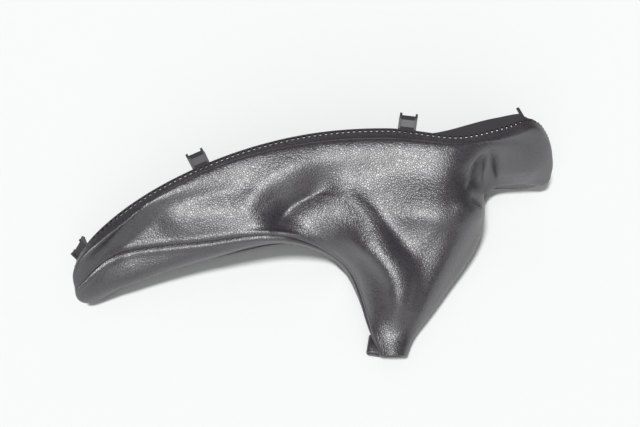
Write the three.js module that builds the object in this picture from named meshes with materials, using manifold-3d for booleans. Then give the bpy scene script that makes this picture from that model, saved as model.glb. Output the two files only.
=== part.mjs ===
// A handbrake lever gaiter, lying on its side as it comes to rest on a table.
// Two leatherette panels are sewn to each other along a left and a right seam. They hang from a
// perforated plastic collar, whose snap clips hold it in the slot of a console. The lever passes
// through the collar and out of the neck at the boot's far end.
// Lengths are millimetres. +X runs along the collar from its rear to its front, +Y from the neck
// towards the collar, and +Z up from the table.
import * as THREE from 'three';
import { mergeVertices } from 'three/addons/utils/BufferGeometryUtils.js';
import Module from 'manifold-3d';

// Driving dimensions
const collarLength = 294;
const collarWidth = 66;
const neckReach = 136;
const leatherThickness = 1.2;
const seamGap = 0.3;
const seatGap = 0.3;

// Collar: a thin wall all round the boot's base, with one row of needle slots
const wallThickness = 1.6;
const wallTuck = 3;
const wallRise = 4;
const slotPitch = 3.4;
const slotLength = 1.7;
const slotInset = 0.6;
const slotWidth = 2.6;

// The near wall's front part is higher, up to a straight edge between two points [x, y].
const frontEdge = [[67, 29], [128, 46.5]];

// A short spike stands on the straight edge, just behind its front end.
const spikeLength = 5;
const spikeSetBack = 1;
const spikeThickness = 1.2;
const spikeWidth = 1.6;

// Snap clips on the collar's free edge
const clipWidth = 11;
const clipLength = 13.5;
const clipRidge = 3.4;
const clipRib = 1.4;
const clipPlate = 1.3;
const clipRoot = 1;
const plateInset = 0.5;
const plateStep = 1.6;
const hornFlare = 0.4;
const clipStations = [-70, 52];
const rearClip = 1.6;

// Shares of a clip's length at which its ridge starts, peaks and ends and its horns begin, and the
// share of the ribs' ridge that the plate has
const ridgeStart = 0.18;
const ridgePeak = 0.45;
const ridgeEnd = 0.62;
const hornStart = 0.8;
const plateRidge = 0.7;

// Neck: the small oval opening that the lever comes out of
const neckWidth = 21;
const neckHeight = 12;
const rimWidth = 14;
const rimHeight = 9.6;

// The points below are drawn at these sizes, and stretch with the driving dimensions.
const drawn = { length: 294, reach: 136, width: 66 };
const stretch = new THREE.Vector3(
  collarLength / drawn.length,
  neckReach / drawn.reach,
  collarWidth / drawn.width,
);

// The collar's wall where the boot's hem ends, as [x, y, z, lean], from the rear seam along the
// near strip to the front, and back along the far strip. The free edge points along +Y across the
// collar's line, and leans from there towards the table by the last number, in degrees.
const collarPoints = [
  [-142.5, -47.5, 25, 0], [-141, -45, 37, 0], [-135, -38.5, 45, 0], [-107, -12, 52.7, 0], [-60, 14, 60, 0],
  [-10, 27, 66.5, 0], [40, 29.5, 69.7, 0], [85, 24, 69.7, 0], [112, 31.5, 69.7, 0], [129, 40, 67, 0],
  [139, 43, 54, 0], [145, 44, 36, 10], [147, 44, 21, 30], [145.5, 43.5, 10.5, 55], [137, 43, 5.4, 75],
  [112, 42, 5.2, 75], [60, 32, 6, 10], [-10, 27, 5.6, 0], [-75, 8, 5.6, 0], [-125, -27, 5.6, 0],
  [-139, -43, 7, 0], [-142.5, -47.5, 14, 0],
];

// Numbers of the collar points that the near and the far strip run between. The clips stand there,
// and the near strip's higher edge is in the first half of the points.
const nearStrip = [2, 9];
const farStrip = [14, 20];
const nearHalf = 10;

// Guide lines of the boot. Each starts at a numbered point of the collar, passes through four
// points [x, y, z] and ends at an angle on the neck's oval, 0 being +X and 90 the top.
const guides = [
  { at: 0, neck: 180, through: [[-124, -38, 34.5], [-71, -31, 40.5], [-22, -30, 45], [16, -31, 17]] },
  { at: 2, neck: 160, through: [[-121, -31, 45], [-68, -20, 52.5], [-16, -25, 48.5], [21, -38, 29]] },
  { at: 3, neck: 140, through: [[-101, -15, 58], [-57, -8, 58.5], [-6, -17, 55.5], [27, -40, 38]] },
  { at: 4, neck: 120, through: [[-56, 8, 67], [-34, -3, 61.5], [8, -15, 59], [33, -42, 42]] },
  { at: 5, neck: 100, through: [[-7, 18, 73], [4, 3, 67], [25, -19, 60.5], [39, -43, 44]] },
  { at: 6, neck: 80, through: [[41, 19, 76], [43, 0, 68], [46, -25, 58], [48, -44, 43.5]] },
  { at: 7, neck: 60, through: [[82, 15, 76], [77, -2, 67.5], [71, -25, 58], [59, -45, 40]] },
  { at: 9, neck: 35, through: [[122, 28, 62], [101, 16, 65], [90, -16, 54.5], [71, -46.5, 36]] },
  { at: 11, neck: 12, through: [[134, 28, 38], [105, 25, 36], [99, -8, 34], [76, -46, 21]] },
  { at: 13, neck: -12, through: [[131, 34, 18], [106, 27, 22], [98, -12, 18], [74, -49, 11]] },
  { at: 15, neck: -35, through: [[106, 38, 12], [103, 20, 12], [91, -14, 8], [68, -51, 4]] },
  { at: 16, neck: -65, through: [[60, 20, 2], [62, 2, 1.5], [62, -20, 1.5], [57, -50, 2]] },
  { at: 17, neck: -95, through: [[-5, 18, 2], [14, 4, 2], [32, -16, 2.5], [45, -46, 3]] },
  { at: 18, neck: -125, through: [[-62, 2, 2], [-26, 0, 3], [12, -10, 4], [32, -42, 4]] },
  { at: 19, neck: -150, through: [[-112, -29, 2], [-66, -15, 4], [-8, -7, 12], [20, -33, 5]] },
  { at: 21, neck: -168, through: [[-123, -47, 18], [-73, -35, 31], [-19, -28, 37], [13, -26, 9]] },
];
const rightSeam = 10;

const neckCentre = new THREE.Vector3(42.5, -79, 10);
const rimCentre = new THREE.Vector3(42.5, -88, 6.9);

// A loop of the neck's hem stands out to the left of the opening, folded flat like a hairpin.
const loopReach = 10;
const loopLength = 12;
const loopHeight = 4.4;
const loopTurn = -0.16;
const loopCentre = new THREE.Vector3(33, -79.5, 4);

// Folds of the slack leather. Each lifts or sinks the near panel along a line of points [x, v],
// v being the height in a view from 52 degrees above. It fades over one width to the left of its
// line, over another to the right, and towards both ends. A ridge is round, and a valley is sharp.
const folds = [
  { lift: -3.5, left: 4, right: 12, along: [[-126, -11], [-116, -4], [-107, 5], [-97, 13], [-88, 21]] },
  { lift: 3, left: 9, right: 9, along: [[6, 51], [-3, 48], [-18, 43], [-32, 34], [-39, 23], [-44, 10]] },
  { lift: -2, left: 5, right: 5, along: [[-17, 34], [-31, 28], [-35, 22], [-38, 15]] },
  {
    lift: -9, left: 14, right: 6,
    along: [[12, 48], [6, 43], [-1, 35], [-8, 29], [-17, 23], [-23, 16], [-27, 2]],
  },
  {
    lift: -6, left: 14, right: 10,
    along: [[14, 53], [22, 36], [27, 28], [33, 21], [37, 12], [44, 0], [53, -14], [58, -30]],
  },
  {
    lift: 5, left: 9, right: 6,
    along: [[8, 5], [24, 1], [32, -5], [39, -13], [43, -23], [45, -36], [43, -51]],
  },
  { lift: 1.5, left: 16, right: 6, along: [[39, 19], [53, 18], [71, 16], [102, 13]] },
  { lift: -4.5, left: 6, right: 6, along: [[82, 48], [89, 41], [92, 32], [97, 18]] },
  { lift: 2, left: 4, right: 4, along: [[78, 27], [89, 21], [100, 15]] },
  { lift: -6, left: 9, right: 4, along: [[110, 56], [105, 54], [101, 51], [97, 45], [97, 38], [100, 29]] },
];
const viewAngle = THREE.MathUtils.degToRad(52);
const foldView = new THREE.Vector3(0, -Math.cos(viewAngle), Math.sin(viewAngle));

// Folds are whole where the leather faces that view by this much, and fade out where it turns away.
// They also fade in over these rows, counted from the hem.
const foldFacing = 0.45;
const foldRows = [1, 4];

// The rounding in the bottom of a valley, and the share of a fold that fades out at each end
const foldRound = 2.5;
const foldEnds = 0.3;

// How finely the boot is meshed: columns between guides, and rows from hem to neck
const columnsPerGuide = [5, 4, 5, 6, 6, 6, 5, 5, 5, 5, 2, 2, 2, 2, 4, 3];
const rowsPerStretch = [1, 3, 4, 4, 3, 2, 1];
const collarSamples = 720;
const bendSlack = 3;

// Where each panel is cut into simpler solids, one for each part of the boot: guides and a row.
// The cut faces touch, so that together they are one sheet.
const nearCuts = [0, 4, 7, 10];
const neckRow = 12;

const wasm = await Module();
wasm.setup();

// Converts between three.js geometry and manifold-3d solids.
function solidOf(geometry) {
  const bare = geometry.clone();
  bare.deleteAttribute('normal');
  bare.deleteAttribute('uv');
  const merged = mergeVertices(bare, 1e-4);
  return new wasm.Manifold(new wasm.Mesh({
    numProp: 3,
    vertProperties: merged.attributes.position.array,
    triVerts: new Uint32Array(merged.index.array),
  }));
}

function geometryOf(solid) {
  const mesh = solid.getMesh();
  const geometry = new THREE.BufferGeometry();
  geometry.setAttribute('position', new THREE.BufferAttribute(mesh.vertProperties, 3));
  geometry.setIndex(new THREE.BufferAttribute(mesh.triVerts, 1));
  return geometry;
}

// A mesh under construction: points, and faces that turn anticlockwise seen from outside
class Body {
  constructor() {
    this.points = [];
    this.triangles = [];
  }

  point(p) {
    this.points.push(p);
    return this.points.length - 1;
  }

  face(...corners) {
    for (let i = 2; i < corners.length; i++) this.triangles.push(corners[0], corners[i - 1], corners[i]);
  }

  geometry() {
    const geometry = new THREE.BufferGeometry();
    const places = this.points.flatMap((p) => [p.x, p.y, p.z]);
    geometry.setAttribute('position', new THREE.Float32BufferAttribute(places, 3));
    geometry.setIndex(this.triangles);
    return geometry;
  }
}

const inMillimetres = ([x, y, z]) => new THREE.Vector3(x, y, z).multiply(stretch);
const loopThrough = (points) => new THREE.CatmullRomCurve3(points, true, 'centripetal');
const collarLine = loopThrough(collarPoints.map(inMillimetres));

function collarLean(share) {
  const place = share * collarPoints.length;
  const before = Math.floor(place) % collarPoints.length;
  const after = (before + 1) % collarPoints.length;
  return THREE.MathUtils.lerp(collarPoints[before][3], collarPoints[after][3], place - Math.floor(place));
}

// The collar's wall at a share of the way round: its point at the hem, the direction of its free
// edge, and the direction out of the loop
function collarAt(share) {
  const wrapped = share - Math.floor(share);
  const point = collarLine.getPoint(wrapped);
  const along = collarLine.getTangent(wrapped);
  const lean = THREE.MathUtils.degToRad(collarLean(wrapped));
  const free = new THREE.Vector3(0, Math.cos(lean), -Math.sin(lean));
  free.addScaledVector(along, -free.dot(along)).normalize();
  const out = along.clone().cross(free).normalize();
  return { point, along, free, out };
}

// The share of the way round the collar that a guide's number stands for, whole or between guides
function collarShare(guide) {
  const before = Math.floor(guide);
  const here = guides[before % guides.length].at;
  const next = before + 1 < guides.length ? guides[before + 1].at : collarPoints.length;
  return (here + (next - here) * (guide - before)) / collarPoints.length;
}

const guideRings = [0, 1, 2, 3].map((k) => (
  loopThrough(guides.map((guide) => inMillimetres(guide.through[k])))
));

// A point on an oval of the neck, at the angle that belongs to a guide's number
function ovalPoint(guide, centre, width, height) {
  const before = Math.floor(guide) % guides.length;
  const from = guides[before].neck;
  const to = before + 1 < guides.length ? guides[before + 1].neck : guides[0].neck - 360;
  const angle = THREE.MathUtils.degToRad(from + (to - from) * (guide - Math.floor(guide)));
  const across = new THREE.Vector3(Math.cos(angle) * width / 2, 0, Math.sin(angle) * height / 2);
  return centre.clone().multiply(stretch).add(across);
}

// One line of the boot from its hem on the collar to the rim of the neck. The slack keeps the flat
// facets between two lines clear of the collar where it bends.
function guideLine(guide, slack) {
  const { point, free, out } = collarAt(collarShare(guide));
  const seat = wallThickness / 2 + seatGap + leatherThickness / 2 + slack;
  const hem = point.clone().addScaledVector(out, seat);
  const tuck = hem.clone().addScaledVector(free, -(wallTuck + 2 * leatherThickness));
  const share = (guide / guides.length) % 1;
  return new THREE.CatmullRomCurve3([
    hem, tuck, ...guideRings.map((ring) => ring.getPoint(share)),
    ovalPoint(guide, neckCentre, neckWidth, neckHeight), ovalPoint(guide, rimCentre, rimWidth, rimHeight),
  ]);
}

// Guide numbers of the columns, and shares of the way down of the rows
const columns = columnsPerGuide.flatMap((count, i) => Array.from({ length: count }, (_, k) => i + k / count));
const rows = [0, ...rowsPerStretch.flatMap((count, i) => (
  Array.from({ length: count }, (_, k) => (i + (k + 1) / count) / rowsPerStretch.length)
))];

// How far the collar bulges out past the straight line between two neighbouring columns
function bulgeBetween(i, j) {
  const from = columns[i];
  const to = j === 0 ? guides.length : columns[j];
  const middle = collarAt(collarShare((from + to) / 2));
  const chord = collarAt(collarShare(from)).point.add(collarAt(collarShare(to)).point).multiplyScalar(0.5);
  return Math.max(0, middle.point.clone().sub(chord).dot(middle.out));
}

// The boot's middle surface, as [column][row], before its thickness
function bootGrid() {
  const count = columns.length;
  const bulges = columns.map((_, i) => bulgeBetween(i, (i + 1) % count));
  return columns.map((guide, i) => {
    const slack = bendSlack * Math.max(bulges[i], bulges[(i + count - 1) % count]);
    const line = guideLine(guide, slack);
    return rows.map((share) => line.getPoint(share));
  });
}

function gridNormals(grid) {
  const count = grid.length;
  return grid.map((column, i) => column.map((_, j) => {
    const round = grid[(i + 1) % count][j].clone().sub(grid[(i + count - 1) % count][j]);
    const last = column.length - 1;
    const down = column[Math.min(j + 1, last)].clone().sub(column[Math.max(j - 1, 0)]);
    return down.cross(round).normalize();
  }));
}

// How far one fold lifts or sinks a place in the folds' view
function foldDepth(place, { lift, left, right, along }) {
  const line = along.map(([x, v]) => new THREE.Vector2(x, v));
  let passed = 0;
  let nearest = { distance: Infinity, side: 0, done: 0 };
  line.slice(1).forEach((end, i) => {
    const run = end.clone().sub(line[i]);
    const length = run.length();
    const away = place.clone().sub(line[i]);
    const share = THREE.MathUtils.clamp(away.dot(run) / length ** 2, 0, 1);
    away.addScaledVector(run, -share);
    const distance = away.length();
    if (distance < nearest.distance) {
      nearest = { distance, side: run.cross(away) / (length * distance || 1), done: passed + share * length };
    }
    passed += length;
  });
  const { distance, side, done } = nearest;
  const width = THREE.MathUtils.lerp(right, left, THREE.MathUtils.smoothstep(side, -1, 1));
  const ridge = Math.exp(-((distance / width) ** 2));
  const valley = Math.exp((foldRound - Math.hypot(distance, foldRound)) / width);
  const ends = THREE.MathUtils.smoothstep(Math.min(done, passed - done), 0, foldEnds * passed);
  return lift * (lift > 0 ? ridge : valley) * ends;
}

function foldLift(point, normal) {
  const facing = THREE.MathUtils.smoothstep(normal.dot(foldView), 0, foldFacing);
  if (facing === 0) return 0;
  const height = point.y * Math.sin(viewAngle) + point.z * Math.cos(viewAngle);
  const place = new THREE.Vector2(point.x, height);
  return facing * folds.reduce((sum, fold) => sum + foldDepth(place, fold), 0);
}

// Folds fade out towards the hem, which the collar holds in shape.
const smoothGrid = bootGrid();
const smoothNormals = gridNormals(smoothGrid);
const seamColumns = [0, columns.indexOf(rightSeam)];
const grid = smoothGrid.map((column, i) => column.map((point, j) => {
  const hold = THREE.MathUtils.smoothstep(rows[j], rows[foldRows[0]], rows[foldRows[1]]);
  const normal = smoothNormals[i][j];
  return point.clone().addScaledVector(normal, hold * foldLift(point, normal));
}));
const normals = gridNormals(grid);

// A piece of a sewn panel: the stretch of the boot between two columns and two rows, given its
// thickness and closed round its edges. An edge on a seam stands back by half the seam's gap. A
// sparse piece keeps every second column below its first row, where the columns run close.
function panel(first, last, top, bottom, sparse = false) {
  const body = new Body();
  const span = [];
  for (let i = first; i <= last; i++) span.push(i % grid.length);
  const end = span.length - 1;
  const rim = bottom - top;
  const setBack = (k, j) => {
    const neighbour = k === 0 ? span[1] : span[k - 1];
    return grid[neighbour][j].clone().sub(grid[span[k]][j]).setLength(seamGap / 2);
  };
  const onSeam = (k) => (k === 0 || k === end) && seamColumns.includes(span[k]);
  const side = (sign) => span.map((i, k) => grid[i].slice(top, bottom + 1).map((p, j) => {
    const moved = p.clone().addScaledVector(normals[i][top + j], sign * leatherThickness / 2);
    if (onSeam(k)) moved.add(setBack(k, top + j));
    return body.point(moved);
  }));
  const outer = side(1);
  const inner = side(-1);
  for (let k = 0; k < end; k++) body.face(outer[k][0], outer[k + 1][0], inner[k + 1][0], inner[k][0]);
  const step = sparse ? 2 : 1;
  for (let k = 0; k < end; k += step) {
    const next = Math.min(k + step, end);
    for (let j = 0; j < rim; j++) {
      if (j === 0 && next - k === 2) {
        body.face(outer[k + 1][0], outer[k][0], outer[k][1], outer[next][1], outer[next][0]);
        body.face(inner[k + 1][0], inner[next][0], inner[next][1], inner[k][1], inner[k][0]);
      } else {
        body.face(outer[k][j], outer[k][j + 1], outer[next][j + 1], outer[next][j]);
        body.face(inner[k][j], inner[next][j], inner[next][j + 1], inner[k][j + 1]);
      }
    }
    body.face(outer[k][rim], inner[k][rim], inner[next][rim], outer[next][rim]);
  }
  for (let j = 0; j < rim; j++) {
    body.face(outer[0][j], inner[0][j], inner[0][j + 1], outer[0][j + 1]);
    body.face(outer[end][j], outer[end][j + 1], inner[end][j + 1], inner[end][j]);
  }
  return body.geometry();
}

// The height of the collar's free edge above the hem
function riseAt(share) {
  const { point, free } = collarAt(share);
  const [[x0, y0], [x1, y1]] = frontEdge.map(([x, y]) => [x * stretch.x, y * stretch.y]);
  const onFar = share * collarPoints.length >= nearHalf;
  if (onFar || point.x < x0 || point.x > x1) return wallRise;
  const edge = y0 + (y1 - y0) * (point.x - x0) / (x1 - x0);
  return Math.max(wallRise, (edge - point.y) / free.y);
}

// The collar's wall, closed round the loop. Every slot goes through it, just clear of the hem.
function collarWall() {
  const fine = new THREE.CatmullRomCurve3(
    Array.from({ length: collarSamples }, (_, i) => collarLine.getPoint(i / collarSamples)),
    true,
    'centripetal',
  );
  const count = Math.round(fine.getLength() / slotPitch);
  fine.arcLengthDivisions = 2000;
  const body = new Body();
  const half = wallThickness / 2;
  const heights = [-wallTuck, slotInset, slotInset + slotWidth];
  const stations = Array.from({ length: count }, (_, i) => {
    const middle = fine.getUtoTmapping(i / count);
    const slotEnd = fine.getUtoTmapping((i + slotLength / slotPitch) / count);
    return [middle, slotEnd].map((share) => {
      const { point, free, out } = collarAt(share);
      return [1, -1].map((side) => [...heights, riseAt(share)].map((height) => body.point(
        point.clone().addScaledVector(free, height).addScaledVector(out, side * half),
      )));
    });
  });
  for (let i = 0; i < count; i++) {
    const [start, stop] = stations[i];
    const [next] = stations[(i + 1) % count];
    [0, 1].forEach((side) => {
      const [a, b, c] = [start[side], stop[side], next[side]];
      const turn = (...corners) => body.face(...(side === 0 ? corners : corners.reverse()));
      turn(a[0], c[0], c[1], b[1], a[1]);
      turn(a[2], b[2], c[2], c[3], a[3]);
      turn(b[1], c[1], c[2], b[2]);
    });
    const [outer, inner] = [0, 1];
    body.face(start[outer][3], next[outer][3], next[inner][3], start[inner][3]);
    body.face(start[inner][0], next[inner][0], next[outer][0], start[outer][0]);
    body.face(start[outer][1], stop[outer][1], stop[inner][1], start[inner][1]);
    body.face(stop[outer][1], stop[outer][2], stop[inner][2], stop[inner][1]);
    body.face(stop[outer][2], start[outer][2], start[inner][2], stop[inner][2]);
    body.face(start[outer][2], start[outer][1], start[inner][1], start[inner][2]);
  }
  return body.geometry();
}

// A flat outline of [height, depth] points, extruded along the collar between two places
function extruded(points, from, to) {
  const shape = new THREE.Shape(points.map(([x, y]) => new THREE.Vector2(x, y)));
  const geometry = new THREE.ExtrudeGeometry(shape, { depth: to - from, bevelEnabled: false });
  return geometry.translate(0, 0, from);
}

// A snap clip: a thin plate between two side ribs. Its ridge catches under the console's edge, and
// each rib ends in a small horn. It stands up from the collar's free edge.
function clipSolid() {
  const back = -wallThickness / 2;
  const front = back + clipPlate;
  const half = clipWidth / 2;
  const plateEnd = clipLength - plateStep;
  const [foot, peak, heel, horn] = [ridgeStart, ridgePeak, ridgeEnd, hornStart]
    .map((share) => clipLength * share);
  const plate = [
    [-clipRoot, back], [plateEnd, back], [plateEnd, front], [heel, front],
    [peak, front + clipRidge * plateRidge], [foot, front], [-clipRoot, front],
  ];
  const rib = [
    [-clipRoot, back], [horn, back], [clipLength, back - hornFlare], [clipLength, front + hornFlare],
    [horn, front + hornFlare], [peak, front + clipRidge], [hornFlare, front + hornFlare], [-clipRoot, front],
  ];
  const parts = [
    extruded(plate, plateInset - half, half - plateInset),
    extruded(rib, -half, -half + clipRib),
    extruded(rib, half - clipRib, half),
  ];
  return wasm.Manifold.union(parts.map(solidOf));
}

// Puts a solid made in the clip's frame (height, depth, along) on the collar's edge.
function onCollar(solid, share, height) {
  const { point, along, free, out } = collarAt(share);
  const origin = point.clone().addScaledVector(free, height);
  const columnsOf = (v) => [v.x, v.y, v.z, 0];
  return solid.transform([...columnsOf(free), ...columnsOf(out), ...columnsOf(along.clone().negate()),
    origin.x, origin.y, origin.z, 1]);
}

// The share of the way round where the near or far strip passes a given x
function shareAtX(x, near) {
  const [from, to] = near ? nearStrip : farStrip;
  let [low, high] = [from / collarPoints.length, to / collarPoints.length];
  for (let i = 0; i < 40; i++) {
    const middle = (low + high) / 2;
    const beyond = collarLine.getPoint(middle).x > x * stretch.x;
    if (beyond === near) high = middle; else low = middle;
  }
  return low;
}

const group = new THREE.Group();

function addPart(name, geometry, color, roughness, metalness) {
  const mesh = new THREE.Mesh(geometry, new THREE.MeshStandardMaterial({ color, roughness, metalness }));
  mesh.name = name;
  group.add(mesh);
  return mesh;
}

// The hairpin loop beside the neck, lying along +Y, with its bend at the left
function neckLoop() {
  const outer = loopHeight / 2;
  const inner = outer - leatherThickness;
  const straight = loopReach - outer;
  const shape = new THREE.Shape();
  shape.moveTo(straight, -outer);
  shape.lineTo(straight, -inner);
  shape.lineTo(0, -inner);
  shape.absarc(0, 0, inner, -Math.PI / 2, Math.PI / 2, true);
  shape.lineTo(straight, inner);
  shape.lineTo(straight, outer);
  shape.lineTo(0, outer);
  shape.absarc(0, 0, outer, Math.PI / 2, -Math.PI / 2, false);
  const depth = { depth: loopLength, bevelEnabled: false, curveSegments: 4 };
  const geometry = new THREE.ExtrudeGeometry(shape, depth);
  geometry.translate(outer - loopReach / 2, 0, -loopLength / 2).rotateX(Math.PI / 2).rotateZ(loopTurn);
  return solidOf(geometry.translate(...loopCentre.clone().multiply(stretch)));
}

const [rearCut, middleCut, frontCut, seamCut] = nearCuts.map((guide) => columns.indexOf(guide));
const nearPieces = {
  near_panel_rear: panel(rearCut, middleCut, 0, neckRow),
  near_panel_middle: panel(middleCut, frontCut, 0, neckRow),
  near_panel_front: panel(frontCut, seamCut, 0, neckRow),
  near_panel_neck: panel(rearCut, seamCut, neckRow, rows.length - 1, true),
};
const farNeck = solidOf(panel(seamCut, columns.length, neckRow, rows.length - 1, true)).add(neckLoop());
const pieces = {
  ...nearPieces,
  far_panel: panel(seamCut, columns.length, 0, neckRow),
  far_panel_neck: geometryOf(farNeck),
};
Object.entries(pieces).forEach(([name, geometry]) => addPart(name, geometry, 0x4a484a, 0.55, 0));

const clip = clipSolid();
const clipShares = [
  rearClip / collarPoints.length,
  ...clipStations.flatMap((x) => [shareAtX(x, true), shareAtX(x, false)]),
];
const clips = clipShares.map((share) => onCollar(clip, share, riseAt(share)));
const spikeShare = shareAtX(frontEdge[1][0] - spikeSetBack, true);
const spike = onCollar(
  solidOf(new THREE.BoxGeometry(spikeLength * 2, spikeThickness, spikeWidth)),
  spikeShare,
  riseAt(spikeShare),
);
const collar = wasm.Manifold.union([solidOf(collarWall()), ...clips, spike]);
addPart('collar', geometryOf(collar), 0x2c2b2d, 0.6, 0);

// The origin is at the middle of the part's footprint, on the table.
const extent = new THREE.Box3().setFromObject(group);
const middle = extent.getCenter(new THREE.Vector3());
group.children.forEach((mesh) => mesh.geometry.translate(-middle.x, -middle.y, -extent.min.z));

export default group;
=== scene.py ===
"""A handbrake lever cover: a sewn leatherette boot on a perforated plastic collar, lying on its side.

The boot is lofted from the same guide lines as the CAD model, at a finer mesh, and eight of its ten
folds are the CAD model's too. The seams' grooves, the tip of the neck's mouth and the threads are
made only here, and the collar is the CAD model's own. Points are written in millimetres, in the frame
that the CAD model was drawn in, and to_row() turns them into metres in the row's frame.
"""

import math

import bpy
import numpy as np
from mathutils import Matrix


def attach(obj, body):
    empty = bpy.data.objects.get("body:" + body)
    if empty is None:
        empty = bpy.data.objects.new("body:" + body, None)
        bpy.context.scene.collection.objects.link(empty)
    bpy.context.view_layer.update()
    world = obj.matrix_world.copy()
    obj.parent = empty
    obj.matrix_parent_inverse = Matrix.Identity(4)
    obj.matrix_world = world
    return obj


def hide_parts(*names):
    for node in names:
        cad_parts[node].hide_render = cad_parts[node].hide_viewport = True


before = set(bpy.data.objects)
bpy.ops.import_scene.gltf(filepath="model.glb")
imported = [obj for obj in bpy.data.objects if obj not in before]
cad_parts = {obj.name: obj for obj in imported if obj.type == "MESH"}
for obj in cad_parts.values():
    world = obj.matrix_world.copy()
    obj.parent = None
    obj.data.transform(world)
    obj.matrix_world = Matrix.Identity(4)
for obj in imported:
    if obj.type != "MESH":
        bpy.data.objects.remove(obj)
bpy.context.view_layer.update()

bl_info = {
    "name": "Handbrake Lever Cover",
    "version": (1, 0, 0),
    "blender": (4, 5, 0),
    "location": "3D View > Sidebar > Cover",
    "description": "Builds a sewn leatherette handbrake lever cover on its perforated collar",
    "category": "Object",
}

MM = 0.001

# Where the CAD model's own origin lies, in the frame that its points were drawn in, in millimetres
DRAWN_ORIGIN = np.array([0.783, -18.595, -0.857])

# The collar's line where the hem ends, as x, y, z and the lean of its free edge in degrees, from
# the rear seam along the near strip to the front, and back along the far strip
COLLAR_POINTS = np.array([
    (-142.5, -47.5, 25, 0), (-141, -45, 37, 0), (-135, -38.5, 45, 0), (-107, -12, 52.7, 0),
    (-60, 14, 60, 0), (-10, 27, 66.5, 0), (40, 29.5, 69.7, 0), (85, 24, 69.7, 0),
    (112, 31.5, 69.7, 0), (129, 40, 67, 0), (139, 43, 54, 0), (145, 44, 36, 10),
    (147, 44, 21, 30), (145.5, 43.5, 10.5, 55), (137, 43, 5.4, 75), (112, 42, 5.2, 75),
    (60, 32, 6, 10), (-10, 27, 5.6, 0), (-75, 8, 5.6, 0), (-125, -27, 5.6, 0),
    (-139, -43, 7, 0), (-142.5, -47.5, 14, 0),
], float)

# The boot's guide lines: the collar point that each starts at, four points that it passes, and
# the angle on the neck's oval at which it ends, 0 being +X and 90 the top
GUIDES = [
    (0, [(-124, -38, 34.5), (-71, -31, 40.5), (-22, -30, 45), (16, -31, 17)], 180),
    (2, [(-121, -31, 45), (-68, -20, 52.5), (-16, -25, 48.5), (21, -38, 29)], 160),
    (3, [(-101, -15, 58), (-57, -8, 58.5), (-6, -17, 55.5), (27, -40, 38)], 140),
    (4, [(-56, 8, 67), (-34, -3, 61.5), (8, -15, 59), (33, -42, 42)], 120),
    (5, [(-7, 18, 73), (4, 3, 67), (25, -19, 60.5), (39, -43, 44)], 100),
    (6, [(41, 19, 76), (43, 0, 68), (46, -25, 58), (48, -44, 43.5)], 80),
    (7, [(82, 15, 76), (77, -2, 67.5), (71, -25, 58), (59, -45, 40)], 60),
    (9, [(122, 28, 62), (101, 16, 65), (90, -16, 54.5), (71, -46.5, 36)], 35),
    (11, [(134, 28, 38), (105, 25, 36), (99, -8, 34), (76, -46, 21)], 12),
    (13, [(131, 34, 18), (106, 27, 22), (98, -12, 18), (74, -49, 11)], -12),
    (15, [(106, 38, 12), (103, 20, 12), (91, -14, 8), (68, -51, 4)], -35),
    (16, [(60, 20, 2), (62, 2, 1.5), (62, -20, 1.5), (57, -50, 2)], -65),
    (17, [(-5, 18, 2), (14, 4, 2), (32, -16, 2.5), (45, -46, 3)], -95),
    (18, [(-62, 2, 2), (-26, 0, 3), (12, -10, 4), (32, -42, 4)], -125),
    (19, [(-112, -29, 2), (-66, -15, 4), (-8, -7, 12), (20, -33, 5)], -150),
    (21, [(-123, -47, 18), (-73, -35, 31), (-19, -28, 37), (13, -26, 9)], -168),
]
GUIDE_STARTS = np.array([start for start, _, _ in GUIDES] + [len(COLLAR_POINTS)], float)
GUIDE_RINGS = np.array([points for _, points, _ in GUIDES], float)
GUIDE_ANGLES = np.array([angle for _, _, angle in GUIDES] + [180 - 360], float)
RIGHT_SEAM = 10
NECK_OVAL = ((42.5, -79, 10), 21, 12)
RIM_OVAL = ((42.5, -88, 6.9), 14, 9.6)

# How far the neck's mouth tips down, in radians: the upper side reaches further than the lower
RIM_TIP = math.radians(27)

# How the CAD model meshes the boot between guides, and how many times the collar's bulge between two
# of those columns the hem stands further out, so that it clears the collar's bends
CAD_COLUMNS = (5, 4, 5, 6, 6, 6, 5, 5, 5, 5, 2, 2, 2, 2, 4, 3)
BEND_SLACK = 3

# The collar's wall, the gap between it and the leather, the leather, and how far the wall reaches in
# under the leather
WALL, SEAT_GAP, LEATHER, TUCK = 1.6, 0.3, 1.2, 3

# Folds of the slack leather: how far each lifts or sinks it, the widths to the left and right of its
# line over which that fades, and the line as points x, v. v is the height in the view from 52
# degrees above. The fifth and the sixth differ from the CAD model's.
FOLDS = [
    (-3.5, 4, 12, [(-126, -11), (-116, -4), (-107, 5), (-97, 13), (-88, 21)]),
    (3, 9, 9, [(6, 51), (-3, 48), (-18, 43), (-32, 34), (-39, 23), (-44, 10)]),
    (-2, 5, 5, [(-17, 34), (-31, 28), (-35, 22), (-38, 15)]),
    (-9, 14, 6, [(12, 48), (6, 43), (-1, 35), (-8, 29), (-17, 23), (-23, 16), (-27, 2)]),
    (-5.5, 17, 9, [(14, 53), (22, 36), (28, 28), (34, 21), (40, 12), (49, 0), (62, -14)]),
    (6, 13, 6, [(8, 5), (24, 1), (33, -5), (40, -13), (45, -23), (46, -36), (43, -53)]),
    (1.5, 16, 6, [(39, 19), (53, 18), (71, 16), (102, 13)]),
    (-4.5, 6, 6, [(82, 48), (89, 41), (92, 32), (97, 18)]),
    (2, 4, 4, [(78, 27), (89, 21), (100, 15)]),
    (-6, 9, 4, [(110, 56), (105, 54), (101, 51), (97, 45), (97, 38), (100, 29)]),
]
VIEW_RISE = math.radians(52)

# Folds are whole where the leather faces that view by this much, and fade out where it turns away.
FOLD_FACING = 0.45

# The rounding in the bottom of a valley, and the share of a fold that fades out at each end
FOLD_ROUND, FOLD_ENDS = 2.5, 0.3

# How many times the folds are smoothed round the boot
FOLD_SMOOTHING = 36

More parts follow.
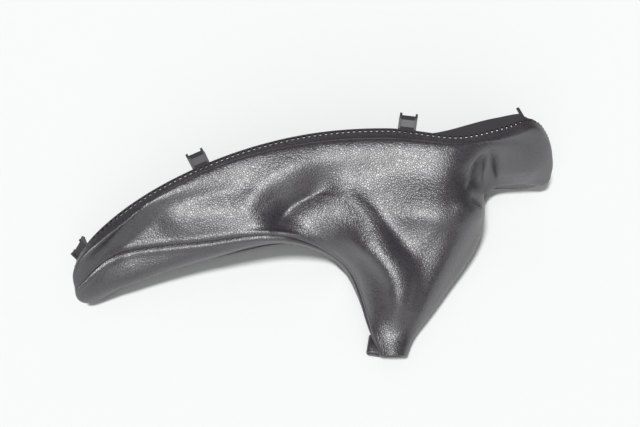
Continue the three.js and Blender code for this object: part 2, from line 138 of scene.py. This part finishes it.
# Seams: how deep and wide the groove is in which the panels meet, and the height, place and width of
# the swell beside it
GROOVE, GROOVE_WIDTH = 1.2, 0.9
SWELL, SWELL_PLACE, SWELL_WIDTH = 0.5, 2.6, 1.6

# The collar's needle slots: their pitch, how far past the hem they start, the share of the pitch at
# which each has its stitch, and the number of places that the collar's length is taken from
SLOT_PITCH, SLOT_INSET, SLOT_STITCH = 3.4, 0.6, 0.45
COLLAR_SAMPLES = 4001

# Stitches: the reach of one at the hem and of one across a seam, the thread's radius, how far a hem
# stitch sits in from the leather's middle and down from its slot, how far a seam stitch sits in, and
# the seam stitches' pitch
HEM_STITCH, SEAM_STITCH, THREAD = 1.5, 1.1, 0.32
HEM_STITCH_SEAT, HEM_STITCH_DROP, SEAM_STITCH_SEAT = 0.9, 0.9, 0.1
SEAM_PITCH = 3.0

# The neck's turned hem: its radius, how far it lies in from the rim, and how many times as long as
# thick it is along the neck
RIM_BEAD, RIM_INSET, RIM_STRETCH = 0.9, 0.7, 1.4

# The hairpin loop of hem beside the neck: its reach, length, height, turn in radians, middle, and the
# rounding of its edges
LOOP_REACH, LOOP_LENGTH, LOOP_HEIGHT, LOOP_TURN = 10, 12, 4.4, -0.16
LOOP_CENTRE = (33, -79.5, 4)
LOOP_BEVEL = 0.25

# Mesh of the boot: columns round it between guides, and rows down each stretch from hem to rim
NEAR_COLUMNS = 26
FAR_COLUMNS = 20
ROWS = (5, 22, 40, 34, 26, 22, 8)
RIGHT_SEAM_COLUMN = NEAR_COLUMNS * RIGHT_SEAM

# The shares of the way from hem to rim over which the folds and the grooves fade in, and the rows
# between which the seams are stitched
FOLD_START = (1 / len(ROWS), 2 / len(ROWS))
GROOVE_START = (1 / len(ROWS), 1.2 / len(ROWS))
STITCHED_ROWS = slice(ROWS[0] + 4, -3)

# The rows at the collar whose inner face has the leather's material too. At the sharpest turns of the
# hem that face comes through the outer one, and a pale backing would show there.
TURNED_ROWS = 25

# The table lies this many metres below the part, so that their faces don't meet.
TABLE_DROP = 0.0002

# The lamps: name, lean towards the camera and to the right in degrees, energy, and angular width in
# degrees
LAMPS = (("key_softbox", 23, -10, 2.8, 8), ("low_softbox", 55, -4, 0.85, 50))

# The camera, placed for the photo's view: its place in metres, its tilt, its lens and its sensor
CAMERA_PLACE, CAMERA_TILT = (-0.0008, -0.3877, 0.5501), math.radians(38)
CAMERA_LENS, CAMERA_SENSOR = 60, 36


def linear(code):
    """A colour given as sRGB hex, such as "#48464a", as linear red, green, blue and alpha."""
    channels = [int(code[i:i + 2], 16) / 255 for i in (1, 3, 5)]
    return (*[c / 12.92 if c <= 0.04045 else ((c + 0.055) / 1.055) ** 2.4 for c in channels], 1.0)


def dimmed(colour, share):
    """A colour at a share of its brightness, still opaque."""
    return [c * share for c in colour[:3]] + [1]


def to_row(points):
    """Points drawn in millimetres as metres in the row's frame."""
    return (np.asarray(points, float) - DRAWN_ORIGIN) * MM


def smoothstep(x, low, high):
    t = np.clip((x - low) / (high - low), 0, 1)
    return t * t * (3 - 2 * t)


def unit(v):
    return v / np.maximum(np.linalg.norm(v, axis=-1, keepdims=True), 1e-12)


def spline(points, share, closed=False):
    """Places at shares of the way along a centripetal Catmull-Rom curve. The points may be arrays,
    and then each of their entries has a curve of its own."""
    points = np.asarray(points, float)
    share = np.asarray(share, float)
    count = len(points)
    place = share * (count if closed else count - 1)
    start = np.floor(place).astype(int)
    if closed:
        p0, p1, p2, p3 = (points[(start + k) % count] for k in (-1, 0, 1, 2))
    else:
        start = np.minimum(start, count - 2)
        ends = (2 * points[:1] - points[1:2], points, 2 * points[-1:] - points[-2:-1])
        p0, p1, p2, p3 = (np.concatenate(ends)[start + k] for k in (0, 1, 2, 3))
    d0, d1, d2 = (
        np.sqrt(np.linalg.norm(b - a, axis=-1, keepdims=True))
        for a, b in ((p0, p1), (p1, p2), (p2, p3))
    )
    t1 = ((p1 - p0) / d0 - (p2 - p0) / (d0 + d1) + (p2 - p1) / d1) * d1
    t2 = ((p2 - p1) / d1 - (p3 - p1) / (d1 + d2) + (p3 - p2) / d2) * d1
    w = (place - start).reshape(share.shape + (1,) * (points.ndim - 1))
    return p1 + t1 * w + (3 * (p2 - p1) - 2 * t1 - t2) * w ** 2 + (2 * (p1 - p2) + t1 + t2) * w ** 3


def collar_at(share):
    """The collar's wall at shares of the way round: its points at the hem, the directions along
    it, towards its free edge and out of the loop."""
    share = np.asarray(share, float) % 1
    line = COLLAR_POINTS[:, :3]
    point = spline(line, share, closed=True)
    ahead, back = (spline(line, np.clip(share + step, 0, 1), closed=True) for step in (1e-4, -1e-4))
    along = unit(ahead - back)
    numbers = np.arange(len(COLLAR_POINTS) + 1)
    leans = np.append(COLLAR_POINTS[:, 3], COLLAR_POINTS[0, 3])
    lean = np.radians(np.interp(share * len(COLLAR_POINTS), numbers, leans))
    free = np.stack([np.zeros_like(lean), np.cos(lean), -np.sin(lean)], -1)
    free = unit(free - along * (free * along).sum(-1, keepdims=True))
    return point, along, free, unit(np.cross(along, free))


def collar_share(guide):
    return np.interp(guide, np.arange(len(GUIDE_STARTS)), GUIDE_STARTS) / len(COLLAR_POINTS)


def oval_points(guide, oval, tip=0):
    centre, width, height = oval
    angle = np.radians(np.interp(guide, np.arange(len(GUIDE_ANGLES)), GUIDE_ANGLES))
    across, up = np.cos(angle) * width / 2, np.sin(angle) * height / 2
    return np.array(centre) + np.stack([across, -up * math.tan(tip), up], -1)


def hem_slack(guide):
    """How far more the hem stands out of the collar where that bends, as in the CAD model."""
    columns = np.concatenate([i + np.arange(n) / n for i, n in enumerate(CAD_COLUMNS)])
    following = np.append(columns[1:], len(GUIDES))
    middle, _, _, out = collar_at(collar_share((columns + following) / 2))
    chord = (collar_at(collar_share(columns))[0] + collar_at(collar_share(following) % 1)[0]) / 2
    bulge = np.maximum(0, ((middle - chord) * out).sum(-1))
    slack = BEND_SLACK * np.maximum(bulge, np.roll(bulge, 1))
    return np.interp(guide, np.append(columns, len(GUIDES)), np.append(slack, slack[0]))


def hem_seat(guide):
    """How far the middle of the hem's leather stands out of the middle of the collar's wall."""
    return WALL / 2 + SEAT_GAP + LEATHER / 2 + hem_slack(guide)


def lengths_along(line):
    """How far along a line of points each of them lies."""
    return np.concatenate([[0], np.cumsum(np.linalg.norm(np.diff(line, axis=0), axis=-1))])


def fold_depth(places, lift, left, right, line):
    """How far a fold lifts or sinks places in the folds' view. It fades over one width to the left of
    its line of points, over another to the right, and towards both ends. A ridge of slack leather is
    round, and a valley is sharp."""
    line = np.array(line, float)
    nearest = np.full(places.shape[:-1], np.inf)
    side, along, passed = np.zeros(nearest.shape), np.zeros(nearest.shape), 0
    for a, b in zip(line[:-1], line[1:]):
        length = np.linalg.norm(b - a)
        t = np.clip(((places - a) @ (b - a)) / length ** 2, 0, 1)
        away = places - a - t[..., None] * (b - a)
        distance = np.linalg.norm(away, axis=-1)
        turn = ((b - a)[0] * away[..., 1] - (b - a)[1] * away[..., 0]) / length
        closer = distance < nearest
        side = np.where(closer, turn / np.maximum(distance, 1e-9), side)
        along = np.where(closer, passed + t * length, along)
        nearest = np.minimum(nearest, distance)
        passed += length
    width = right + (left - right) * smoothstep(side, -1, 1)
    if lift > 0:
        profile = np.exp(-(nearest / width) ** 2)
    else:
        profile = np.exp((FOLD_ROUND - np.hypot(nearest, FOLD_ROUND)) / width)
    return lift * profile * smoothstep(np.minimum(along, passed - along), 0, FOLD_ENDS * passed)


def grid_normals(grid):
    """Outward normals of the closed boot's grid, as [column][row]."""
    round_it = np.roll(grid, -1, axis=0) - np.roll(grid, 1, axis=0)
    down = np.gradient(grid, axis=1)
    return unit(np.cross(down, round_it))


def fold_view(grid):
    """Places of the boot's grid as x, v in the folds' view."""
    height = grid[..., 1] * math.sin(VIEW_RISE) + grid[..., 2] * math.cos(VIEW_RISE)
    return np.stack([grid[..., 0], height], -1)


def softened(field):
    """A field over the boot's grid, with the kinks rubbed out where two parts of a fold's line meet."""
    for _ in range(FOLD_SMOOTHING):
        field = (np.roll(field, 1, axis=0) + 2 * field + np.roll(field, -1, axis=0)) / 4
    padded = np.pad(field, ((0, 0), (1, 1)), mode="edge")
    return (padded[:, :-2] + 2 * field + padded[:, 2:]) / 4


def seam_distance(grid, column):
    """How far each place of the boot's grid is from a seam's column, round the boot."""
    steps = np.linalg.norm(np.roll(grid, -1, axis=0) - grid, axis=-1)
    ahead = np.cumsum(steps, axis=0) - steps
    distance = abs(ahead - ahead[column])
    return np.minimum(distance, ahead[-1] + steps[-1] - distance)


def boot_grid():
    """The boot's middle surface in millimetres, as [column][row]."""
    guide = np.concatenate([
        np.linspace(0, RIGHT_SEAM, RIGHT_SEAM_COLUMN, endpoint=False),
        np.linspace(RIGHT_SEAM, len(GUIDES), FAR_COLUMNS * (len(GUIDES) - RIGHT_SEAM), endpoint=False),
    ])
    point, _, free, out = collar_at(collar_share(guide))
    hem = point + out * hem_seat(guide)[:, None]
    tuck = hem - free * (TUCK + 2 * LEATHER)
    rings = [spline(GUIDE_RINGS[:, k], guide / len(GUIDES), closed=True) for k in range(4)]
    neck, rim = oval_points(guide, NECK_OVAL), oval_points(guide, RIM_OVAL, RIM_TIP)
    stretches = [(i + (np.arange(n) + 1) / n) / len(ROWS) for i, n in enumerate(ROWS)]
    share = np.concatenate([[0], *stretches])
    grid = spline(np.array([hem, tuck, *rings, neck, rim]), share).transpose(1, 0, 2)

    normals = grid_normals(grid)
    to_view = np.array([0, -math.cos(VIEW_RISE), math.sin(VIEW_RISE)])
    hold = smoothstep(share, *FOLD_START) * smoothstep(normals @ to_view, 0, FOLD_FACING)
    view = fold_view(grid)
    lift = softened(sum(fold_depth(view, *fold) for fold in FOLDS))
    grid = grid + normals * (hold * lift)[..., None]

    beside = np.minimum(seam_distance(grid, 0), seam_distance(grid, RIGHT_SEAM_COLUMN))
    swell = SWELL * np.exp(-((beside - SWELL_PLACE) / SWELL_WIDTH) ** 2)
    groove = GROOVE * np.exp(-(beside / GROOVE_WIDTH) ** 2)
    normals = grid_normals(grid)
    grid = grid + normals * ((swell - groove) * smoothstep(share, *GROOVE_START))[..., None]

    # The leather lies flat where it rests on the table.
    grid[..., 2] = np.maximum(grid[..., 2], DRAWN_ORIGIN[2] + LEATHER / 2)
    return grid


def axes_at(along, across, out, points):
    """A place for each point, whose X, Y and Z axes are the three directions given."""
    places = np.zeros((len(points), 4, 4))
    places[:, :3] = np.stack([along, across, out, to_row(points)], -1)
    places[:, 3, 3] = 1
    return [Matrix(place.tolist()) for place in places]


def slot_places():
    """Where the thread laces the hem at each slot: X along the collar, Y to its free edge, Z out."""
    shares = np.linspace(0, 1, COLLAR_SAMPLES)
    passed = lengths_along(collar_at(shares)[0])
    count = round(passed[-1] / SLOT_PITCH)
    share = np.interp((np.arange(count) + SLOT_STITCH) / count * passed[-1], passed, shares)
    point, along, free, out = collar_at(share)
    guide = np.interp(share * len(COLLAR_POINTS), GUIDE_STARTS, np.arange(len(GUIDE_STARTS)))
    seat = (hem_seat(guide) - HEM_STITCH_SEAT)[:, None]
    return axes_at(along, free, out, point + out * seat + free * (SLOT_INSET - HEM_STITCH_DROP))


def seam_places(grid, column):
    """Where a stitch crosses a seam's groove: X along the seam, Y across it, Z out of the boot."""
    line, normals = grid[column, STITCHED_ROWS], grid_normals(grid)[column, STITCHED_ROWS]
    passed = lengths_along(line)
    at = np.arange(SEAM_PITCH, passed[-1], SEAM_PITCH)

    # The seam's direction is read from a place half a millimetre further along it.
    point, ahead, normal = (
        np.stack([np.interp(places, passed, values[:, k]) for k in range(3)], -1)
        for places, values in ((at, line), (at + 0.5, line), (at, normals))
    )
    out, along = unit(normal), unit(ahead - point)
    across = unit(np.cross(out, along))
    return axes_at(along, across, np.cross(along, across), point - out * SEAM_STITCH_SEAT)


def made(name, points, faces):
    """A new mesh object in the scene, from points in metres and its faces."""
    mesh = bpy.data.meshes.new(name)
    mesh.from_pydata([tuple(p) for p in points], [], [tuple(f) for f in faces])
    mesh.update()
    piece = bpy.data.objects.new(name, mesh)
    bpy.context.scene.collection.objects.link(piece)
    select_only(piece)
    return piece


def select_only(piece):
    bpy.ops.object.select_all(action="DESELECT")
    piece.select_set(True)
    bpy.context.view_layer.objects.active = piece


def stitch(reach):
    """One stitch: half a ring of thread that stands on the XY plane and reaches both ways along Y."""
    bpy.ops.object.select_all(action="DESELECT")
    bpy.ops.mesh.primitive_torus_add(
        major_radius=reach * MM, minor_radius=THREAD * MM, major_segments=12, minor_segments=5,
        rotation=(0, math.radians(90), 0),
    )
    bpy.ops.object.transform_apply(location=True, rotation=True, scale=True)
    bpy.ops.object.mode_set(mode="EDIT")
    bpy.ops.mesh.select_all(action="SELECT")
    bpy.ops.mesh.bisect(plane_co=(0, 0, 0), plane_no=(0, 0, 1), clear_inner=True, use_fill=True)
    bpy.ops.object.mode_set(mode="OBJECT")
    return bpy.context.object


def repeated(name, model, places):
    """Copies of a model at each place, joined to one piece. The model itself is removed."""
    bpy.ops.object.select_all(action="DESELECT")
    for place in places:
        copy = bpy.data.objects.new(name, model.data.copy())
        copy.data.transform(place)
        bpy.context.scene.collection.objects.link(copy)
        copy.select_set(True)
        bpy.context.view_layer.objects.active = copy
    bpy.ops.object.join()
    piece = bpy.context.object
    piece.name = name
    bpy.data.objects.remove(model)
    return piece


def sheet_mesh(name, grid):
    """An open grid of quads, as [column][row], as a mesh that faces out of the boot."""
    columns, rows = grid.shape[:2]
    index = np.arange(columns * rows).reshape(columns, rows)
    faces = np.stack([index[:-1, :-1], index[:-1, 1:], index[1:, 1:], index[1:, :-1]], -1).reshape(-1, 4)
    return made(name, to_row(grid.reshape(-1, 3)), faces.tolist())


def node(tree, kind, inputs=None, **settings):
    """Adds a shader node with its settings. Inputs are values, or outputs to link from."""
    new = tree.nodes.new(kind)
    for key, value in settings.items():
        setattr(new, key, value)
    for key, value in (inputs or {}).items():
        if isinstance(value, bpy.types.NodeSocket):
            tree.links.new(value, new.inputs[key])
        else:
            new.inputs[key].default_value = value
    return new


def new_material(name):
    material = bpy.data.materials.new(name)
    material.use_nodes = True
    material.node_tree.nodes.clear()
    return material, material.node_tree


def leatherette(name, colour, grain):
    """Calendered PVC leatherette: a soft satin skin pressed with a pebble grain, so each highlight is
    broad and breaks up into specks. The grain is 1.3 mm wide unless its size is changed, with fine
    grooves between."""
    material, tree = new_material(name)
    place = node(tree, "ShaderNodeTexCoord").outputs["Object"]

    # The pebbles' places waver by up to about 1 mm, so that no two are alike.
    waver = node(tree, "ShaderNodeTexNoise", {"Vector": place, "Scale": 0.4 / grain, "Detail": 2.0})
    bent = node(tree, "ShaderNodeMix", {
        "Factor": 0.0011, "A": place, "B": waver.outputs["Color"],
    }, data_type="VECTOR").outputs[1]
    cells = {"Vector": bent, "Scale": 1 / grain}
    pebble = node(tree, "ShaderNodeTexVoronoi", cells, feature="F1")
    groove = node(tree, "ShaderNodeTexVoronoi", cells, feature="DISTANCE_TO_EDGE")
    flank = node(tree, "ShaderNodeMapRange", {
        "Value": groove.outputs["Distance"], "From Min": 0.0, "From Max": 0.22,
    }, interpolation_type="SMOOTHSTEP")
    height = node(tree, "ShaderNodeMath", {
        0: pebble.outputs["Distance"], 1: -0.8, 2: flank.outputs[0],
    }, operation="MULTIPLY_ADD")
    bump = node(tree, "ShaderNodeBump", {
        "Strength": 0.32, "Distance": 0.0002, "Height": height.outputs[0],
    })

    # Shallow rucks of the slack skin, about 7 mm apart
    ruck = node(tree, "ShaderNodeTexNoise", {
        "Vector": place, "Scale": 140.0, "Detail": 4.0, "Distortion": 0.6,
    })
    bump = node(tree, "ShaderNodeBump", {
        "Strength": 0.18, "Distance": 0.0012, "Height": ruck.outputs["Fac"],
        "Normal": bump.outputs["Normal"],
    })

    # Patches about 33 mm apart, a little darker and lighter than the colour, and shade painted into the
    # grooves between the pebbles
    patch = node(tree, "ShaderNodeTexNoise", {"Vector": place, "Scale": 30.0, "Detail": 3.0})
    tint = node(tree, "ShaderNodeValToRGB", {"Fac": patch.outputs["Fac"]})
    tint.color_ramp.elements[0].position = 0.3
    tint.color_ramp.elements[0].color = dimmed(colour, 0.85)
    tint.color_ramp.elements[1].position = 0.7
    tint.color_ramp.elements[1].color = dimmed(colour, 1.15)
    # Painted shade: the grooves between the pebbles are coloured at a third of the leather's colour.
    painted_groove_shade = node(tree, "ShaderNodeMix", {
        "Factor": flank.outputs[0], "A": dimmed(colour, 0.35), "B": tint.outputs["Color"],
    }, data_type="RGBA")
    shader = node(tree, "ShaderNodeBsdfPrincipled", {
        "Base Color": painted_groove_shade.outputs["Result"], "Roughness": 0.4, "IOR": 1.6, "Specular IOR Level": 1.0,
        "Normal": bump.outputs["Normal"],
    })
    node(tree, "ShaderNodeOutputMaterial", {"Surface": shader.outputs[0]})
    return material


def knitted_backing(name, colour):
    """The leatherette's backing: a knitted polyester, so the inside is dull, fuzzy and pale. Its rows of
    loops are about 0.5 mm apart, and are drawn at 1 mm so that they show."""
    material, tree = new_material(name)
    place = node(tree, "ShaderNodeTexCoord").outputs["Object"]
    rows = node(tree, "ShaderNodeTexWave", {
        "Vector": place, "Scale": 320.0, "Distortion": 1.5,
    }, bands_direction="X")
    fuzz = node(tree, "ShaderNodeTexNoise", {"Vector": place, "Scale": 900.0, "Detail": 3.0})
    loops = node(tree, "ShaderNodeMath", {
        0: rows.outputs["Fac"], 1: fuzz.outputs["Fac"],
    }, operation="MULTIPLY")
    bump = node(tree, "ShaderNodeBump", {
        "Strength": 0.5, "Distance": 0.0003, "Height": loops.outputs[0],
    })
    shade = node(tree, "ShaderNodeValToRGB", {"Fac": fuzz.outputs["Fac"]})
    shade.color_ramp.elements[0].position = 0.35
    shade.color_ramp.elements[0].color = dimmed(colour, 0.7)
    shade.color_ramp.elements[1].position = 0.65
    shade.color_ramp.elements[1].color = colour
    shader = node(tree, "ShaderNodeBsdfPrincipled", {
        "Base Color": shade.outputs["Color"], "Roughness": 0.9, "Sheen Weight": 0.3,
        "Normal": bump.outputs["Normal"],
    })
    node(tree, "ShaderNodeOutputMaterial", {"Surface": shader.outputs[0]})
    return material


def moulded_plastic(name, colour):
    """Injection-moulded black polypropylene: matt, from a spark-eroded texture that blurs each
    highlight. Its pits are about 0.1 mm wide, and are drawn at about 0.7 mm so that they show."""
    material, tree = new_material(name)
    place = node(tree, "ShaderNodeTexCoord").outputs["Object"]
    texture = node(tree, "ShaderNodeTexNoise", {"Vector": place, "Scale": 1400.0, "Detail": 3.0})
    bump = node(tree, "ShaderNodeBump", {
        "Strength": 0.3, "Distance": 0.0001, "Height": texture.outputs["Fac"],
    })
    shader = node(tree, "ShaderNodeBsdfPrincipled", {
        "Base Color": colour, "Roughness": 0.5, "IOR": 1.49, "Normal": bump.outputs["Normal"],
    })
    node(tree, "ShaderNodeOutputMaterial", {"Surface": shader.outputs[0]})
    return material


def sewing_thread(name, colour):
    """Bonded polyester thread: two plies twisted to about 0.6 mm, with a dull waxed shine, so a stitch
    shows as a small pale-edged knot. The twist is drawn twice as coarse as it is."""
    material, tree = new_material(name)
    place = node(tree, "ShaderNodeTexCoord").outputs["Object"]
    ply = node(tree, "ShaderNodeTexWave", {
        "Vector": place, "Scale": 320.0, "Distortion": 2.0,
    }, bands_direction="DIAGONAL")
    bump = node(tree, "ShaderNodeBump", {
        "Strength": 0.6, "Distance": 0.0002, "Height": ply.outputs["Fac"],
    })
    shader = node(tree, "ShaderNodeBsdfPrincipled", {
        "Base Color": colour, "Roughness": 0.5, "IOR": 1.5, "Sheen Weight": 0.2,
        "Normal": bump.outputs["Normal"],
    })
    node(tree, "ShaderNodeOutputMaterial", {"Surface": shader.outputs[0]})
    return material


def shared(name, make, *values):
    """The material of that name, made once and then used again."""
    return bpy.data.materials.get(name) or make(name, *values)


class CoverSizes(bpy.types.PropertyGroup):
    """Sizes that a user may change."""

    leather: bpy.props.FloatProperty(
        name="Leather thickness", description="Thickness of the leatherette",
        default=LEATHER * MM, unit="LENGTH",
    )
    grain: bpy.props.FloatProperty(
        name="Grain", description="Width of one pebble of the grain",
        default=1.3 * MM, unit="LENGTH",
    )


class CoverColours(bpy.types.PropertyGroup):
    """Colours that a user may change."""

    leather: bpy.props.FloatVectorProperty(
        name="Leatherette", description="Colour of the boot",
        size=4, subtype="COLOR", default=linear("#37333a"),
    )
    backing: bpy.props.FloatVectorProperty(
        name="Backing", description="Colour of the boot's inside",
        size=4, subtype="COLOR", default=linear("#8f8671"),
    )
    plastic: bpy.props.FloatVectorProperty(
        name="Collar", description="Colour of the plastic collar",
        size=4, subtype="COLOR", default=linear("#3b393c"),
    )
    thread: bpy.props.FloatVectorProperty(
        name="Thread", description="Colour of the sewing thread",
        size=4, subtype="COLOR", default=linear("#232224"),
    )
    floor: bpy.props.FloatVectorProperty(
        name="Floor", description="Colour of the table",
        size=4, subtype="COLOR", default=linear("#eeefef"),
    )


class COVER_OT_stage(bpy.types.Operator):
    """Add the table, the lamps, the world and the camera"""

    bl_idname = "cover.stage"
    bl_label = "Stage"

    def execute(self, context):
        colours = context.scene.cover_colours
        bpy.ops.object.select_all(action="DESELECT")
        bpy.ops.mesh.primitive_plane_add(size=40, location=(0, 0, -TABLE_DROP))
        floor = context.object
        floor.name = "table"
        material, tree = new_material("white_table")
        surface = node(tree, "ShaderNodeBsdfDiffuse", {"Color": colours.floor})
        node(tree, "ShaderNodeOutputMaterial", {"Surface": surface.outputs[0]})
        floor.data.materials.append(material)

        for name, lean, side, energy, width in LAMPS:
            bpy.ops.object.light_add(type="SUN", rotation=(math.radians(lean), math.radians(side), 0))
            lamp = context.object
            lamp.name = name
            lamp.data.energy = energy
            lamp.data.angle = math.radians(width)

        world = bpy.data.worlds.new("studio")
        world.use_nodes = True
        world.node_tree.nodes.clear()
        tree = world.node_tree
        dim = node(tree, "ShaderNodeBackground", {"Color": linear("#ffffff"), "Strength": 0.15})
        node(tree, "ShaderNodeOutputWorld", {"Surface": dim.outputs[0]})
        context.scene.world = world

        bpy.ops.object.camera_add(location=CAMERA_PLACE, rotation=(CAMERA_TILT, 0, 0))
        camera = context.object
        camera.data.lens = CAMERA_LENS
        camera.data.sensor_width = CAMERA_SENSOR
        camera.data.clip_start = 0.01
        context.scene.camera = camera
        context.scene.view_settings.view_transform = "Standard"
        return {"FINISHED"}


class COVER_OT_panels(bpy.types.Operator):
    """Add the near and far leatherette panels"""

    bl_idname = "cover.panels"
    bl_label = "Leatherette Panels"

    def execute(self, context):
        sizes, colours = context.scene.cover_sizes, context.scene.cover_colours
        grid = boot_grid()
        rows = grid.shape[1]
        closed = np.concatenate([grid, grid[:1]])
        near = sheet_mesh("near_leather", closed[:RIGHT_SEAM_COLUMN + 1])
        far = sheet_mesh("far_leather", closed[RIGHT_SEAM_COLUMN:])
        material = shared("calendered_leatherette", leatherette, colours.leather, sizes.grain)
        inside = knitted_backing("knitted_polyester_backing", colours.backing)
        for piece in (near, far):
            select_only(piece)
            piece.data.materials.append(material)
            piece.data.materials.append(inside)
            bpy.ops.object.modifier_add(type="SOLIDIFY")
            solid = piece.modifiers[-1]
            solid.thickness = sizes.leather
            solid.offset = 0
            solid.use_even_offset = False
            solid.material_offset = 1
            bpy.ops.object.modifier_apply(modifier=solid.name)

            # Both faces keep the grid's order, so a vertex's number gives its row.
            for face in piece.data.polygons:
                if min(v % rows for v in face.vertices) < TURNED_ROWS:
                    face.material_index = 0
            bpy.ops.object.shade_smooth_by_angle(angle=math.radians(50))
            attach(piece, "root")
        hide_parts("near_panel_rear", "near_panel_middle", "near_panel_front", "near_panel_neck")
        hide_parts("far_panel", "far_panel_neck")
        return {"FINISHED"}


class COVER_OT_neck_trim(bpy.types.Operator):
    """Add the turned hem of the neck's mouth and the hairpin loop beside it"""

    bl_idname = "cover.neck_trim"
    bl_label = "Neck Trim"

    def execute(self, context):
        sizes, colours = context.scene.cover_sizes, context.scene.cover_colours
        material = shared("calendered_leatherette", leatherette, colours.leather, sizes.grain)
        (x, y, z), width, height = RIM_OVAL
        bpy.ops.object.select_all(action="DESELECT")
        bpy.ops.mesh.primitive_torus_add(
            major_radius=width / 2 * MM, minor_radius=RIM_BEAD * MM,
            major_segments=64, minor_segments=14,
            location=to_row((x, y + RIM_INSET, z)), rotation=(math.radians(90) + RIM_TIP, 0, 0),
        )
        hem = context.object
        hem.name = "rim_hem"
        hem.scale = (1, height / width / math.cos(RIM_TIP), RIM_STRETCH)
        bpy.ops.object.transform_apply(location=True, rotation=True, scale=True)
        bpy.ops.object.shade_smooth()

        # The loop starts as a tube, whose left half is kept and drawn out to the right.
        bpy.ops.object.select_all(action="DESELECT")
        bpy.ops.mesh.primitive_cylinder_add(
            vertices=32, radius=(LOOP_HEIGHT - LEATHER) / 2 * MM, depth=LOOP_LENGTH * MM,
            end_fill_type="NOTHING", rotation=(math.radians(90), 0, 0),
        )
        loop = context.object
        loop.name = "neck_loop"
        bpy.ops.object.transform_apply(location=True, rotation=True, scale=True)
        bpy.ops.object.mode_set(mode="EDIT")
        bpy.ops.mesh.select_all(action="SELECT")
        bpy.ops.mesh.bisect(plane_co=(0, 0, 0), plane_no=(1, 0, 0), clear_outer=True)
        bpy.ops.mesh.select_all(action="DESELECT")
        bpy.ops.object.mode_set(mode="OBJECT")
        for edge in loop.data.edges:
            edge.select = all(abs(loop.data.vertices[v].co.x) < 1e-6 for v in edge.vertices)
        bpy.ops.object.mode_set(mode="EDIT")
        straight = (LOOP_REACH - LOOP_HEIGHT / 2) * MM
        bpy.ops.mesh.extrude_edges_move(TRANSFORM_OT_translate={"value": (straight, 0, 0)})
        bpy.ops.object.mode_set(mode="OBJECT")
        bpy.ops.object.modifier_add(type="SOLIDIFY")
        loop.modifiers[-1].thickness = sizes.leather
        loop.modifiers[-1].offset = 0
        bpy.ops.object.modifier_apply(modifier=loop.modifiers[-1].name)
        bpy.ops.object.modifier_add(type="BEVEL")
        loop.modifiers[-1].width = LOOP_BEVEL * MM
        loop.modifiers[-1].segments = 2
        bpy.ops.object.modifier_apply(modifier=loop.modifiers[-1].name)
        loop.data.transform(Matrix.Translation(((LOOP_HEIGHT - LOOP_REACH) / 2 * MM, 0, 0)))
        loop.data.transform(Matrix.Translation(to_row(LOOP_CENTRE)) @ Matrix.Rotation(LOOP_TURN, 4, "Z"))
        bpy.ops.object.shade_smooth_by_angle(angle=math.radians(40))
        for piece in (hem, loop):
            piece.data.materials.append(material)
            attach(piece, "root")
        return {"FINISHED"}


class COVER_OT_threads(bpy.types.Operator):
    """Sew the two seams, and lace the hem to the collar's slots"""

    bl_idname = "cover.threads"
    bl_label = "Threads"

    def execute(self, context):
        material = sewing_thread("bonded_polyester_thread", context.scene.cover_colours.thread)
        grid = boot_grid()
        seams = seam_places(grid, 0) + seam_places(grid, RIGHT_SEAM_COLUMN)
        for piece in (
            repeated("hem_thread", stitch(HEM_STITCH), slot_places()),
            repeated("seam_thread", stitch(SEAM_STITCH), seams),
        ):
            select_only(piece)
            bpy.ops.object.shade_smooth()
            piece.data.materials.append(material)
            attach(piece, "root")
        return {"FINISHED"}


class COVER_OT_collar(bpy.types.Operator):
    """Give the collar its moulded plastic"""

    bl_idname = "cover.collar"
    bl_label = "Collar"

    def execute(self, context):
        material = moulded_plastic("moulded_polypropylene", context.scene.cover_colours.plastic)
        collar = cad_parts["collar"]
        collar.data.materials.clear()
        collar.data.materials.append(material)
        return {"FINISHED"}


class COVER_PT_panel(bpy.types.Panel):
    """The cover's pieces, sizes and colours"""

    bl_label = "Handbrake Lever Cover"
    bl_space_type = "VIEW_3D"
    bl_region_type = "UI"
    bl_category = "Cover"

    def draw(self, context):
        layout = self.layout
        for piece in PIECES:
            layout.operator(piece.bl_idname)
        for group in (context.scene.cover_sizes, context.scene.cover_colours):
            for name in group.bl_rna.properties.keys():
                if name not in ("rna_type", "name"):
                    layout.prop(group, name)


PIECES = (COVER_OT_stage, COVER_OT_collar, COVER_OT_panels, COVER_OT_neck_trim, COVER_OT_threads)
CLASSES = (CoverSizes, CoverColours, *PIECES, COVER_PT_panel)


def register():
    for each in CLASSES:
        bpy.utils.register_class(each)
    bpy.types.Scene.cover_sizes = bpy.props.PointerProperty(type=CoverSizes)
    bpy.types.Scene.cover_colours = bpy.props.PointerProperty(type=CoverColours)


def unregister():
    del bpy.types.Scene.cover_colours
    del bpy.types.Scene.cover_sizes
    for each in reversed(CLASSES):
        bpy.utils.unregister_class(each)


def main():
    register()
    bpy.ops.cover.stage()
    bpy.ops.cover.collar()
    bpy.ops.cover.panels()
    bpy.ops.cover.neck_trim()
    bpy.ops.cover.threads()


if __name__ == "__main__":
    main()
